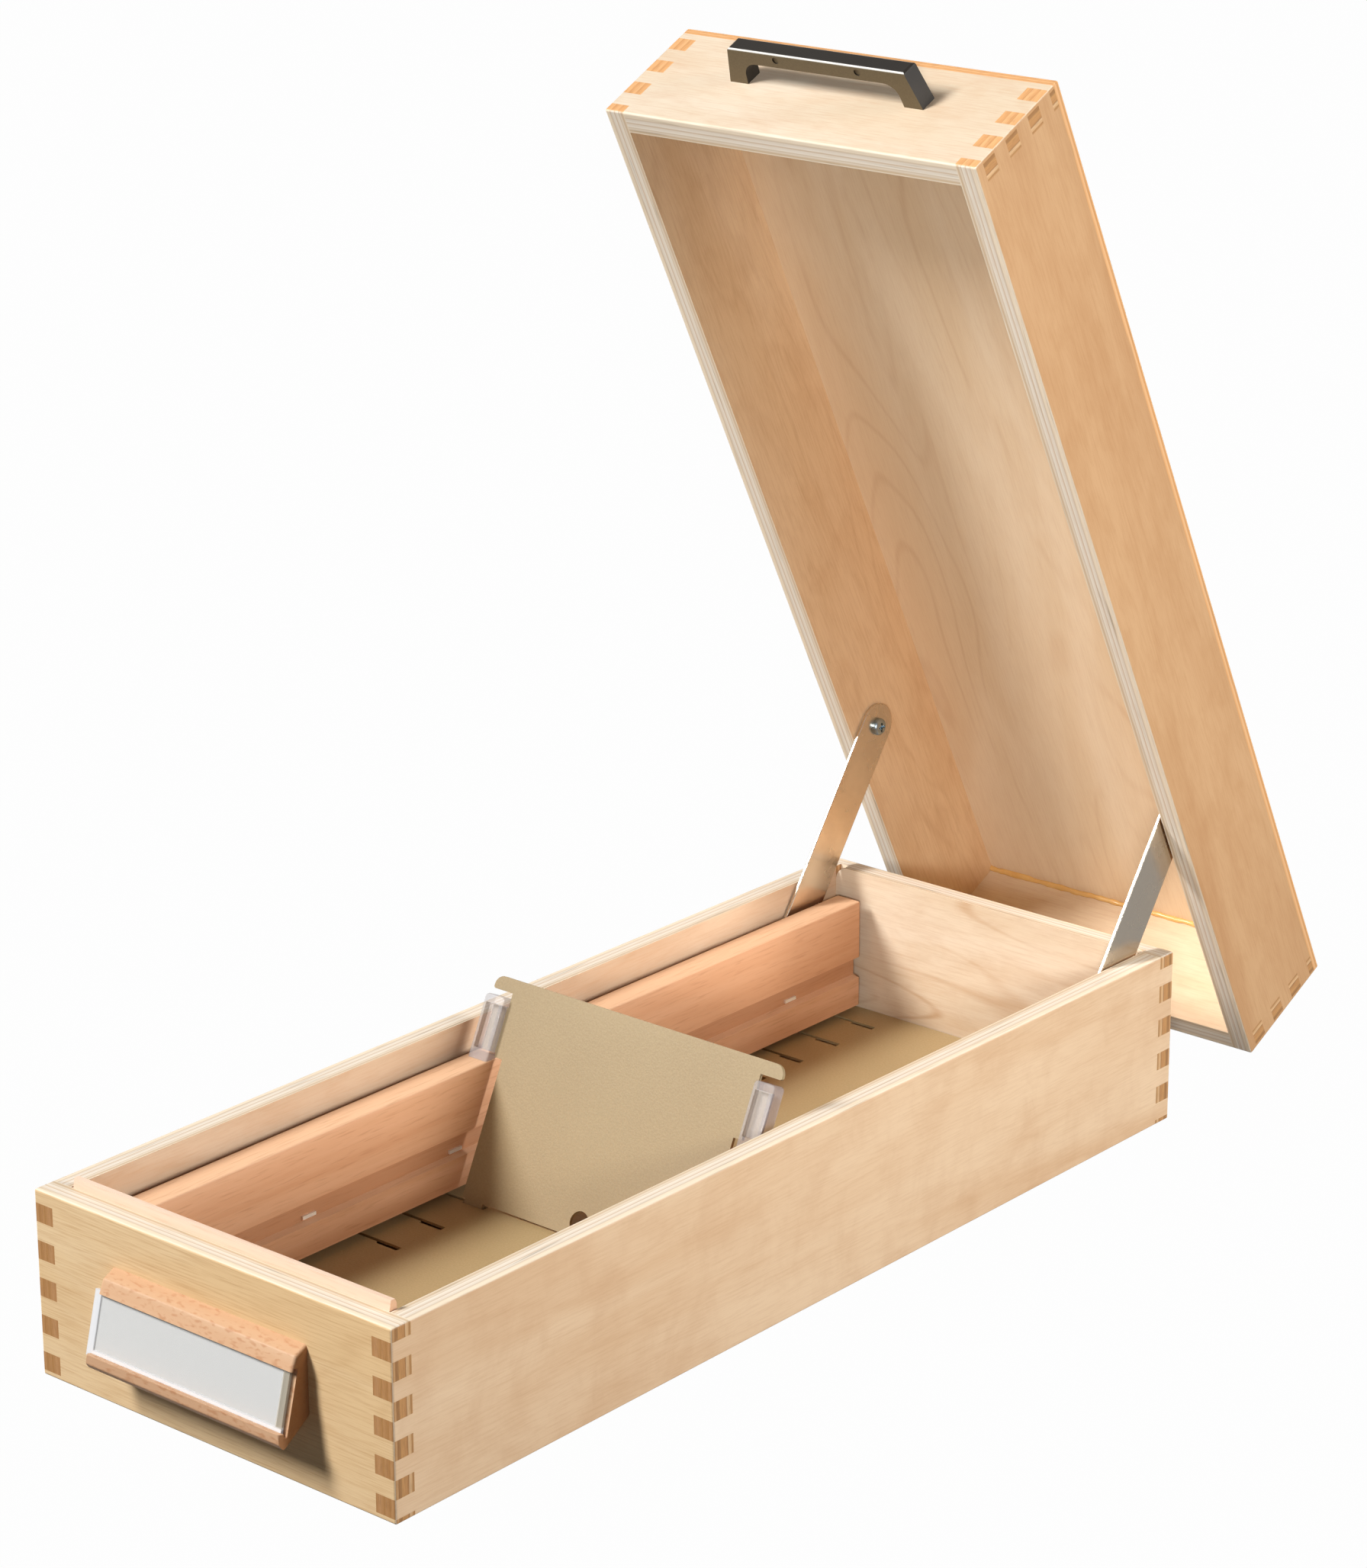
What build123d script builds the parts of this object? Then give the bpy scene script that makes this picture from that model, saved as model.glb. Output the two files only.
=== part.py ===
from build123d import *
import os
from math import cos, degrees, atan2, hypot, radians, sin

# Wooden index card box with its lid swung open, in millimetres.
# Frame: X to the right, Y to the rear, Z up, origin on the table under the middle of the base.

# Walls of base and lid
box_width = 152.0
box_length = 391.0
base_height = 63.0
wall = 8.0
lid_depth = 47.3  # from the rim to the outside of the top panel
lid_panel_thickness = 3.0
edge_round = 0.8
relief_radius = 5.0  # eased inner top corners of the rear wall, beside the stays
relief_depth = 3.0
cut_over = 2.0  # how far a cut runs past what it cuts

# Finger joints, counted from the table on the base and from the rim on the lid
finger = 6.3
base_first_finger = 1.8
lid_first_finger = 3.7

# Bottom panel in its rebates, and the slotted sheet floor that stands on it
bottom_thickness = 4.0
bottom_tongue = 4.0
rebate_clear = 0.1
floor_top = 10.5
floor_sheet = 1.0
floor_clear = 0.3
slot_length = 21.5
slot_width = 2.6
slot_wide_length = 9.8  # inner stretch, where the plate's tabs go in
slot_narrow_width = 1.5
slot_pitch = 20.7
slot_reach = 14.4  # how far the slots run in past the rails' inner faces
slot_rear_inset = 13.4  # from the rear wall to the rearmost slots
slot_front_inset = 105.0  # least distance of a slot from the front wall

# Side rails that carry the support plate
rail_depth = 14.2  # from the side wall to the rail's inner face; the cards stand between the rails
rail_top_drop = 9.4  # below the rim of the base
rail_height = 40.3
rail_foot_height = 19.7  # lower part, which is as deep as the side wall allows
rail_stay_gap = 3.6  # rebate above it, where the stays swing
rail_rear_gap = 4.0
rail_front_gap = 0.3
rail_round = 0.6
rail_groove_width = 8.0
rail_groove_bottom_width = 6.6
rail_groove_depth = 2.6
rail_groove_rise = 10.7  # from the rail's underside to the groove's lower edge

# Staples that hold the rails
staple_crown = 6.0
staple_wire = 1.2
staple_flat = 0.7
staple_leg = 14.5
staple_shares = (0.10, 0.575, 0.76)  # along the rail, from its rear end

# Stays, their screws and washers
stay_width = 17.0
stay_thickness = 1.2
stay_round = 0.3
base_pivot_inset = 33.9  # from the rear face of the base
base_pivot_drop = 18.75  # below the rim of the base
lid_pivot_inset = 110.3  # from the rear face of the lid
lid_pivot_depth = 11.8  # from the rim of the lid
stay_open_lean = 34.83  # degrees from upright
lid_open_angle = 63.3  # degrees from closed
lid_rest_gap = 0.3
running_gap = 0.05
pan_head_radius = 3.2
pan_head_height = 2.0
pan_head_round = 1.2
pan_head_room = 0.5  # around the head, in the rail
screw_radius = 1.75
screw_grip = 6.0  # length in the wood
pilot_clear = 0.05
recess_span = 3.4
recess_width = 0.8
recess_depth = 1.1
washer_radius = 4.2
washer_thickness = 0.5

# Strip inside the front wall that locates the closed lid
strip_thickness = 3.4
strip_height = 12.0
strip_rise = 3.1  # above the rim of the base
strip_end_gap = 0.7
strip_step = 0.4
strip_lead = 0.6
strip_bevel = 1.4

# Label pull on the front wall; depths are from the wall, heights from the wall's middle
pull_width = 83.0
pull_offset = 0.5
pull_top = 15.2
pull_brow_depth = 4.6
pull_brow = 13.0
pull_bead_depth = 6.7
pull_bead = 8.3
pull_lip_depth = 12.7
pull_lip = -9.5
pull_lip_low = -12.6
pull_tip_depth = 11.0
pull_tip = -15.1
pull_hollow_depth = 1.9
pull_hollow = -8.8
pull_foot = -7.3
pull_round = 1.2

# Label sleeve in the pull's two grooves, with its card
sleeve_lean = 14.6  # degrees from upright
sleeve_low_depth = 10.1
sleeve_low = -11.0  # from the wall's middle
sleeve_length = 83.5
sleeve_height = 20.8
sleeve_thickness = 1.2
sleeve_skin = 0.3
sleeve_edge = 0.7
sleeve_offset = 1.8  # to the left of the pull's middle
sleeve_hold = 1.0  # how deep its long edges sit in the grooves
sleeve_clear = 0.15
card_thickness = 0.4
card_short = 5.0  # shorter than the sleeve
card_clear = 0.1

# Carry handle on the lid's front wall; depths are from the rim, heights from the wall
handle_depth = 26.6  # to its middle
handle_thick = 6.5
handle_height = 13.5
handle_bar = 5.2
handle_foot_width = 79.0
handle_top_width = 72.0
handle_gap_foot = 64.0
handle_gap_top = 62.0
handle_gap_round = 5.5
handle_round = 1.0
pip_radius = 1.2
pip_depth = 0.5
pip_space = 33.4
pip_drop = 2.4  # below the top of the bar

# Countersunk screws of the pull and the handle
flat_head_radius = 3.0
flat_head_height = 1.6
pull_screw_space = 60.0
pull_screw_reach = 4.0  # past the wall
handle_screw_reach = 6.0

# Support plate, leaning back between the rails; heights are along the plate from the floor
plate_lean = 25.5  # degrees from upright
plate_thickness = 1.2
plate_slot_share = 0.77  # which slot it stands in, from the rear
plate_side_gap = 3.6  # to the rails
plate_waist_gap = 0.2  # to the rails' inner faces, beside the clips
plate_foot_gap = 1.5
plate_tab_width = 8.0
plate_tab_inset = 1.5
plate_tab_length = 4.6
plate_step_gap = 0.6
plate_hole_radius = 3.9
plate_hole_rise = 6.5
ear_reach = 8.4  # past the rails' inner faces
ear_height = 4.7
ear_gap = 2.0
ear_round = 3.6
ear_tip_round = 0.9

# Clips on the plate's edges that rest on the rails
clip_width = 8.5
clip_height = 20.0
clip_front = 3.6
clip_rear = 2.4
clip_round = 1.4
clip_ease = 0.8
clip_rim = 1.4
clip_cap = 3.0
clip_hollow = 2.2
clip_foot = 1.5
tongue_length = 6.4
tongue_clear = 0.1
seat_gap = 0.1

# Places that several pieces share
inner_x = box_width / 2 - wall
inner_y = box_length / 2 - wall
front_face = -box_length / 2
lid_wall_height = lid_depth - lid_panel_thickness
rail_top = base_height - rail_top_drop
rail_bottom = rail_top - rail_height
rail_step = rail_bottom + rail_foot_height
rail_inner = inner_x - rail_depth
slot_inner = rail_inner - slot_reach
rail_length = 2 * inner_y - rail_rear_gap - rail_front_gap
rail_rear_end = inner_y - rail_rear_gap
same_place = edge_round / 8

# Pivots of the stays: their reach is what brings the lid down square on the base
stay_wall_gap = washer_thickness + 2 * running_gap
base_pivot_y = box_length / 2 - base_pivot_inset
base_pivot_z = base_height - base_pivot_drop
closed_pivot_y = box_length / 2 - lid_pivot_inset
closed_pivot_z = base_height + lid_rest_gap + lid_pivot_depth
stay_reach = hypot(closed_pivot_y - base_pivot_y, closed_pivot_z - base_pivot_z)
stay_closed_angle = degrees(atan2(closed_pivot_z - base_pivot_z, closed_pivot_y - base_pivot_y))
stay_open_angle = 90 - stay_open_lean
stay_along = Vector(0, cos(radians(stay_open_angle)), sin(radians(stay_open_angle)))
base_pivot = Vector(0, base_pivot_y, base_pivot_z)
lid_pivot = base_pivot + stay_along * stay_reach

# The lid's own plane: the same as the base's, lifted to the rim and swung open
lid_rearward = Vector(0, cos(radians(lid_open_angle)), -sin(radians(lid_open_angle)))
lid_upward = Vector(0, sin(radians(lid_open_angle)), cos(radians(lid_open_angle)))
lid_origin = lid_pivot - lid_rearward * closed_pivot_y - lid_upward * lid_pivot_depth
lid_plane = Plane(origin=lid_origin, x_dir=(1, 0, 0), z_dir=lid_upward)

stay_swing = stay_closed_angle - stay_open_angle
print("base pivot y, z", base_pivot.Y, base_pivot.Z)
print("lid pivot y, z", lid_pivot.Y, lid_pivot.Z)
print("stay swing", stay_swing, "lid swing over stay swing", lid_open_angle / stay_swing - 1)

# Corner blocks where the walls meet
front_corners = [(side * (box_width - wall) / 2, -(box_length - wall) / 2) for side in (-1, 1)]
rear_corners = [(x, -y) for x, y in front_corners]
left_corners = [(-(box_width - wall) / 2, side * (box_length - wall) / 2) for side in (-1, 1)]
base_z = (0, base_height)
lid_z = (0,)


def finger_zones(first, height):
    marks = [0, first]
    while marks[-1] + finger < height:
        marks.append(marks[-1] + finger)
    marks.append(height)
    return list(zip(marks, marks[1:]))


base_zones = finger_zones(base_first_finger, base_height)
lid_zones = finger_zones(lid_first_finger, lid_wall_height)


def end_wall(y, height, corners, gaps):
    # a front or rear wall with corner blocks cut away for the side walls' fingers
    with Locations((0, y, height / 2)):
        Box(box_width, wall, height)
    cut_gaps(corners, gaps)


def side_wall(x, height, corners, gaps):
    # a side wall with corner blocks cut away for the end walls' fingers
    with Locations((x, 0, height / 2)):
        Box(wall, box_length, height)
    cut_gaps(corners, gaps)


def cut_gaps(corners, gaps):
    for low, high in gaps:
        with Locations(*[(x, y, (low + high) / 2) for x, y in corners]):
            Box(wall, wall, high - low, mode=Mode.SUBTRACT)


def bottom_rebate():
    # room for the bottom panel, which lies flush with the walls' lower edges
    with Locations((0, 0, bottom_thickness)):
        Box(
            2 * (inner_x + bottom_tongue + rebate_clear),
            2 * (inner_y + bottom_tongue + rebate_clear),
            bottom_thickness + cut_over,
            align=(Align.CENTER, Align.CENTER, Align.MAX),
            mode=Mode.SUBTRACT,
        )


def ease_outside(made, plane, levels):
    # round the edges where two outside faces of the box meet
    outside = []
    for edge in made.edges():
        spot = plane.to_local_coords(edge.center())
        faces_met = [
            abs(abs(spot.X) - box_width / 2) < same_place,
            abs(abs(spot.Y) - box_length / 2) < same_place,
            any(abs(spot.Z - level) < same_place for level in levels),
        ]
        if sum(faces_met) >= 2:
            outside.append(edge)
    fillet(outside, radius=edge_round)


def turned(plane, place, angles):
    # a plane placed and turned inside another plane
    return Plane(plane.location * Location(place, angles))


def flat_screw(reach, spare=0):
    # countersunk screw along its own -Z, head flush with the plane
    head = flat_head_radius + spare
    stem = screw_radius + spare
    top = (Align.CENTER, Align.CENTER, Align.MAX)
    mode = Mode.SUBTRACT if spare else Mode.ADD
    Cone(stem, head, flat_head_height, align=top, mode=mode)
    Cylinder(stem, reach + spare, align=top, mode=mode)
    if not spare:
        cross_recess()


def cross_recess():
    top = (Align.CENTER, Align.CENTER, Align.MAX)
    Box(recess_span, recess_width, recess_depth, align=top, mode=Mode.SUBTRACT)
    Box(recess_width, recess_span, recess_depth, align=top, mode=Mode.SUBTRACT)


def staple_places():
    # middles of the staples' legs, on the left rail
    z = rail_bottom + rail_groove_rise + (rail_groove_width - rail_groove_bottom_width) / 2 + staple_wire
    x = -(rail_inner + rail_groove_depth + staple_leg / 2)
    places = []
    for share in staple_shares:
        y = rail_rear_end - share * rail_length
        for side in (-1, 1):
            places.append((x, y + side * (staple_crown - staple_flat) / 2, z))
    return places


# Planes of the fittings
pull_screw_planes = [
    Plane(
        origin=(side * pull_screw_space / 2, -inner_y, base_height / 2 + pull_offset),
        x_dir=(1, 0, 0),
        z_dir=(0, 1, 0),
    )
    for side in (-1, 1)
]
handle_leg = (handle_foot_width + handle_gap_foot) / 4
handle_screw_spots = [
    Location((side * handle_leg, -inner_y, handle_depth), (-90, 0, 0)) for side in (-1, 1)
]
handle_screw_planes = [Plane(lid_plane.location * spot) for spot in handle_screw_spots]
base_pivot_plane = Plane(origin=base_pivot - Vector(inner_x, 0, 0), x_dir=(0, 1, 0), z_dir=(1, 0, 0))
lid_pivot_plane = Plane(origin=lid_pivot - Vector(inner_x, 0, 0), x_dir=(0, 1, 0), z_dir=(1, 0, 0))
lid_pivot_spot = Plane(
    origin=(-inner_x, closed_pivot_y, lid_pivot_depth), x_dir=(0, 1, 0), z_dir=(1, 0, 0)
)


def pivot_hole(plane):
    with Locations(plane):
        Cylinder(
            screw_radius + pilot_clear,
            screw_grip + pilot_clear,
            align=(Align.CENTER, Align.CENTER, Align.MAX),
            mode=Mode.SUBTRACT,
        )


# Base walls: front and rear walls hold the even zones, side walls the odd ones
with BuildPart() as base_front_wall:
    end_wall(-(box_length - wall) / 2, base_height, front_corners, base_zones[1::2])
    bottom_rebate()
    for plane in pull_screw_planes:
        with Locations(plane):
            flat_screw(wall + cut_over, pilot_clear)
    ease_outside(base_front_wall, Plane.XY, base_z)

with BuildPart() as base_rear_wall:
    end_wall((box_length - wall) / 2, base_height, rear_corners, base_zones[1::2])
    bottom_rebate()
    ease_outside(base_rear_wall, Plane.XY, base_z)
    with BuildSketch(Plane(origin=(0, inner_y, base_height), x_dir=(1, 0, 0), z_dir=(0, -1, 0))):
        for side in (-1, 1):
            with Locations((side * (inner_x - relief_radius / 2), -relief_radius / 2)):
                Rectangle(relief_radius, relief_radius)
            with Locations((side * (inner_x - relief_radius), -relief_radius)):
                Circle(relief_radius, mode=Mode.SUBTRACT)
    extrude(amount=-relief_depth, mode=Mode.SUBTRACT)

with BuildPart() as base_left_wall:
    side_wall(-(box_width - wall) / 2, base_height, left_corners, base_zones[0::2])
    bottom_rebate()
    pivot_hole(base_pivot_plane)
    with Locations(*staple_places()):
        Box(staple_leg + 2 * pilot_clear, staple_flat + 2 * pilot_clear, staple_wire + 2 * pilot_clear,
            mode=Mode.SUBTRACT)
    ease_outside(base_left_wall, Plane.XY, base_z)

with BuildPart() as base_right_wall:
    mirror(base_left_wall.part, about=Plane.YZ)

# Bottom panel and slotted floor
with BuildPart() as bottom_panel:
    with Locations((0, 0, bottom_thickness / 2)):
        Box(2 * (inner_x + bottom_tongue), 2 * (inner_y + bottom_tongue), bottom_thickness)

floor_half_width = inner_x - floor_clear
floor_half_length = inner_y - floor_clear
slot_count = int((2 * inner_y - slot_rear_inset - slot_front_inset) / slot_pitch) + 1
slot_rear_y = inner_y - slot_rear_inset
slot_middle_y = slot_rear_y - (slot_count - 1) * slot_pitch / 2
with BuildPart() as slotted_floor:
    with BuildSketch(Plane.XY.offset(floor_top)):
        Rectangle(2 * floor_half_width, 2 * floor_half_length)
        with Locations((0, slot_middle_y)):
            with GridLocations(2 * slot_inner + slot_wide_length, slot_pitch, 2, slot_count):
                Rectangle(slot_wide_length, slot_width, mode=Mode.SUBTRACT)
        with Locations((0, slot_middle_y + (slot_width - slot_narrow_width) / 2)):
            with GridLocations(2 * slot_inner + slot_length, slot_pitch, 2, slot_count):
                Rectangle(slot_length, slot_narrow_width, mode=Mode.SUBTRACT)
    extrude(amount=-floor_sheet)
    with BuildSketch(Plane.XY.offset(bottom_thickness)):
        for side in (-1, 1):
            with Locations((side * (floor_half_width - floor_sheet / 2), 0)):
                Rectangle(floor_sheet, 2 * floor_half_length)
    extrude(amount=floor_top - floor_sheet - bottom_thickness)

# Rails: a deep foot, a rebate for the stay above it and a groove along the inner face
groove_slope = (rail_groove_width - rail_groove_bottom_width) / 2
groove_low = rail_bottom + rail_groove_rise
rail_upper_outer = inner_x - rail_stay_gap
head_reach = stay_wall_gap + stay_thickness + running_gap + pan_head_height
with BuildPart() as left_rail:
    with BuildSketch(Plane(origin=(0, rail_rear_end, 0), x_dir=(1, 0, 0), z_dir=(0, -1, 0))) as rail_end:
        with BuildLine():
            Polyline(
                (-inner_x, rail_bottom),
                (-rail_inner, rail_bottom),
                (-rail_inner, groove_low),
                (-rail_inner - rail_groove_depth, groove_low + groove_slope),
                (-rail_inner - rail_groove_depth, groove_low + rail_groove_width - groove_slope),
                (-rail_inner, groove_low + rail_groove_width),
                (-rail_inner, rail_top),
                (-rail_upper_outer, rail_top),
                (-rail_upper_outer, rail_step),
                (-inner_x, rail_step),
                close=True,
            )
        make_face()
        fillet(rail_end.vertices().group_by(Axis.Y)[-1], radius=rail_round)
    extrude(amount=rail_length)
    with Locations(base_pivot_plane):
        Cylinder(
            pan_head_radius + pan_head_room,
            head_reach + pan_head_room,
            align=(Align.CENTER, Align.CENTER, Align.MIN),
            mode=Mode.SUBTRACT,
        )
    with Locations(*staple_places()):
        Box(staple_leg + 2 * pilot_clear, staple_flat + 2 * pilot_clear, staple_wire + 2 * pilot_clear,
            mode=Mode.SUBTRACT)

with BuildPart() as right_rail:
    mirror(left_rail.part, about=Plane.YZ)

with BuildPart() as rail_staples:
    leg_places = staple_places()
    with Locations(*leg_places):
        Box(staple_leg, staple_flat, staple_wire)
    for near, far in zip(leg_places[0::2], leg_places[1::2]):
        with Locations((near[0] + (staple_leg + staple_flat) / 2, (near[1] + far[1]) / 2, near[2])):
            Box(staple_flat, staple_crown, staple_wire)
    mirror(about=Plane.YZ)

# Locating strip, set back a little where the lid's front wall comes down
strip_top = base_height + strip_rise
with BuildPart() as locating_strip:
    with BuildSketch(Plane(origin=(-(inner_x - strip_end_gap), 0, 0), x_dir=(0, 1, 0), z_dir=(1, 0, 0))):
        with BuildLine():
            Polyline(
                (-inner_y, strip_top - strip_height),
                (-inner_y, base_height),
                (-inner_y + strip_step, base_height),
                (-inner_y + strip_step + strip_lead, strip_top),
                (-inner_y + strip_thickness - strip_bevel / 2, strip_top),
                (-inner_y + strip_thickness, strip_top - strip_bevel),
                (-inner_y + strip_thickness, strip_top - strip_height),
                close=True,
            )
        make_face()
    extrude(amount=2 * (inner_x - strip_end_gap))

# Label pull: two grooves hold the sleeve, the lip below is hollowed for the fingers
pull_middle = base_height / 2 + pull_offset
sleeve_out = Vector(0, -cos(radians(sleeve_lean)), sin(radians(sleeve_lean)))
sleeve_plane = Plane(
    origin=(0, front_face - sleeve_low_depth, pull_middle + sleeve_low), x_dir=(1, 0, 0), z_dir=sleeve_out
)
with BuildPart() as label_pull:
    with BuildSketch(Plane(origin=(-pull_width / 2, 0, 0), x_dir=(0, 1, 0), z_dir=(1, 0, 0))) as pull_end:
        with BuildLine():
            Polyline(
                (front_face, pull_middle + pull_top),
                (front_face - pull_brow_depth, pull_middle + pull_brow),
                (front_face - pull_bead_depth, pull_middle + pull_bead),
                (front_face - pull_lip_depth, pull_middle + pull_lip),
                (front_face - pull_lip_depth, pull_middle + pull_lip_low),
                (front_face - pull_tip_depth, pull_middle + pull_tip),
                (front_face - pull_hollow_depth, pull_middle + pull_hollow),
                (front_face, pull_middle + pull_foot),
                close=True,
            )
        make_face()
        pull_corners = pull_end.vertices().sort_by(Axis.Y)
        fillet(pull_corners[:2] + pull_corners[-2:-1], radius=pull_round)
    extrude(amount=pull_width)
    brow_ends = label_pull.faces().filter_by(Axis.X).edges().filter_by(
        lambda edge: edge.center().Z > pull_middle + pull_bead
    )
    fillet(brow_ends.filter_by(lambda edge: edge.center().Y < front_face - same_place), radius=pull_round)
    with Locations(sleeve_plane):
        with Locations((0, sleeve_height / 2, 0)):
            Box(
                pull_width + 2 * cut_over,
                sleeve_height + 2 * sleeve_clear,
                sleeve_thickness + 2 * sleeve_clear,
                mode=Mode.SUBTRACT,
            )
            Box(
                pull_width + 2 * cut_over,
                sleeve_height - 2 * sleeve_hold,
                pull_lip_depth,
                align=(Align.CENTER, Align.CENTER, Align.MIN),
                mode=Mode.SUBTRACT,
            )
    for plane in pull_screw_planes:
        with Locations(plane):
            flat_screw(wall + pull_screw_reach, pilot_clear)

with BuildPart() as pull_screws:
    for plane in pull_screw_planes:
        with Locations(plane):
            flat_screw(wall + pull_screw_reach)

with BuildPart() as label_sleeve:
    with Locations(sleeve_plane):
        with Locations((-sleeve_offset, sleeve_height / 2, 0)):
            Box(sleeve_length, sleeve_height, sleeve_thickness)
            Box(
                sleeve_length + 2 * cut_over,
                sleeve_height - 2 * sleeve_edge,
                sleeve_thickness - 2 * sleeve_skin,
                mode=Mode.SUBTRACT,
            )

with BuildPart() as label_card:
    with Locations(sleeve_plane):
        with Locations((-sleeve_offset, sleeve_height / 2, 0)):
            Box(sleeve_length - card_short, sleeve_height - 2 * (sleeve_edge + card_clear), card_thickness)

# Stays, with the screws and washers on which they turn
with BuildPart() as left_stay:
    stay_plane = Plane(
        origin=base_pivot - Vector(inner_x - stay_wall_gap, 0, 0), x_dir=stay_along, z_dir=(1, 0, 0)
    )
    with BuildSketch(stay_plane):
        with Locations((stay_reach / 2, 0)):
            SlotCenterToCenter(stay_reach, stay_width)
        with Locations((0, 0), (stay_reach, 0)):
            Circle(screw_radius + running_gap, mode=Mode.SUBTRACT)
    extrude(amount=stay_thickness)
    for face in left_stay.faces().filter_by(Axis.X):
        fillet(face.outer_wire().edges(), radius=stay_round)

with BuildPart() as right_stay:
    mirror(left_stay.part, about=Plane.YZ)


def pivot_screw(made, plane):
    # pan-head screw through a stay into the left wall, then its twin on the right
    under_head = stay_wall_gap + stay_thickness + running_gap
    with Locations(plane.offset(-screw_grip)):
        Cylinder(screw_radius, screw_grip + under_head, align=(Align.CENTER, Align.CENTER, Align.MIN))
    with Locations(plane.offset(under_head)):
        Cylinder(pan_head_radius, pan_head_height, align=(Align.CENTER, Align.CENTER, Align.MIN))
    fillet(made.edges().filter_by(GeomType.CIRCLE).sort_by(Axis.X)[-1], radius=pan_head_round)
    with Locations(plane.offset(under_head + pan_head_height)):
        cross_recess()
    mirror(about=Plane.YZ)


def pivot_washer(plane):
    with Locations(plane.offset(running_gap)):
        Cylinder(washer_radius, washer_thickness, align=(Align.CENTER, Align.CENTER, Align.MIN))
        Cylinder(
            screw_radius + running_gap,
            washer_thickness,
            align=(Align.CENTER, Align.CENTER, Align.MIN),
            mode=Mode.SUBTRACT,
        )
    mirror(about=Plane.YZ)


with BuildPart() as stay_base_screws:
    pivot_screw(stay_base_screws, base_pivot_plane)

with BuildPart() as stay_base_washers:
    pivot_washer(base_pivot_plane)

with BuildPart() as stay_lid_screws:
    pivot_screw(stay_lid_screws, lid_pivot_plane)

with BuildPart() as stay_lid_washers:
    pivot_washer(lid_pivot_plane)

# Lid walls: here the side walls hold the even zones
with BuildPart(lid_plane) as lid_front_wall:
    end_wall(-(box_length - wall) / 2, lid_wall_height, front_corners, lid_zones[0::2])
    with Locations(*handle_screw_spots):
        flat_screw(wall + cut_over, pilot_clear)
    ease_outside(lid_front_wall, lid_plane, lid_z)

with BuildPart(lid_plane) as lid_rear_wall:
    end_wall((box_length - wall) / 2, lid_wall_height, rear_corners, lid_zones[0::2])
    ease_outside(lid_rear_wall, lid_plane, lid_z)

with BuildPart(lid_plane) as lid_left_wall:
    side_wall(-(box_width - wall) / 2, lid_wall_height, left_corners, lid_zones[1::2])
    pivot_hole(lid_pivot_spot)
    ease_outside(lid_left_wall, lid_plane, lid_z)

with BuildPart() as lid_right_wall:
    mirror(lid_left_wall.part, about=Plane.YZ)

with BuildPart(lid_plane) as lid_top_panel:
    with Locations((0, 0, lid_wall_height + lid_panel_thickness / 2)):
        Box(box_width, box_length, lid_panel_thickness)
    ease_outside(lid_top_panel, lid_plane, (lid_depth,))

# Carry handle, drawn from the side and as thick as its legs
handle_side = turned(lid_plane, (0, front_face, handle_depth + handle_thick / 2), (180, 0, 0))
pip_height = front_face - handle_height + pip_drop
pip_plane = turned(lid_plane, (0, pip_height, handle_depth - handle_thick / 2), (0, 0, 0))
with BuildPart() as carry_handle:
    with BuildSketch(handle_side):
        with BuildLine():
            Polyline(
                (-handle_foot_width / 2, 0),
                (-handle_top_width / 2, handle_height),
                (handle_top_width / 2, handle_height),
                (handle_foot_width / 2, 0),
                close=True,
            )
        make_face()
    extrude(amount=handle_thick)
    fillet(carry_handle.faces().sort_by(Axis(lid_origin, lid_rearward))[0].edges(), radius=handle_round)
    with BuildSketch(handle_side) as handle_gap:
        with BuildLine():
            Polyline(
                (-handle_gap_foot / 2, 0),
                (-handle_gap_top / 2, handle_height - handle_bar),
                (handle_gap_top / 2, handle_height - handle_bar),
                (handle_gap_foot / 2, 0),
                close=True,
            )
        make_face()
        fillet(handle_gap.vertices().group_by(Axis.Y)[-1], radius=handle_gap_round)
    extrude(amount=handle_thick, mode=Mode.SUBTRACT)
    with Locations(pip_plane):
        with Locations((-pip_space / 2, 0), (pip_space / 2, 0)):
            Cylinder(
                pip_radius, pip_depth, align=(Align.CENTER, Align.CENTER, Align.MIN), mode=Mode.SUBTRACT
            )
    for plane in handle_screw_planes:
        with Locations(plane):
            flat_screw(wall + handle_screw_reach, pilot_clear)

with BuildPart() as handle_screws:
    for plane in handle_screw_planes:
        with Locations(plane):
            flat_screw(wall + handle_screw_reach)

# Support plate in the plane of its lean, through the middle of its slots
plate_out = Vector(0, -cos(radians(plate_lean)), sin(radians(plate_lean)))
plate_slot_y = slot_rear_y - round(plate_slot_share * slot_count) * slot_pitch
plate_low = floor_top - floor_sheet / 2
plate_plane = Plane(origin=(0, plate_slot_y, plate_low), x_dir=(1, 0, 0), z_dir=plate_out)
plate_step = (rail_top + plate_step_gap - plate_low) / cos(radians(plate_lean))
clip_top = plate_step + clip_height
ear_low = clip_top + ear_gap
plate_top = ear_low + ear_height
plate_half = rail_inner - plate_side_gap
waist_half = rail_inner - plate_waist_gap
ear_half = rail_inner + ear_reach
tab_middle = slot_inner + plate_tab_inset + plate_tab_width / 2
clip_inner = waist_half + 2 * plate_waist_gap
tongue_low = plate_step + clip_foot
tongue_high = clip_top - clip_cap


def upright_bar(x, low, high, width):
    # a rectangle of the plate's outline between two heights
    with Locations((x, (low + high) / 2)):
        Rectangle(width, high - low)


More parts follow.
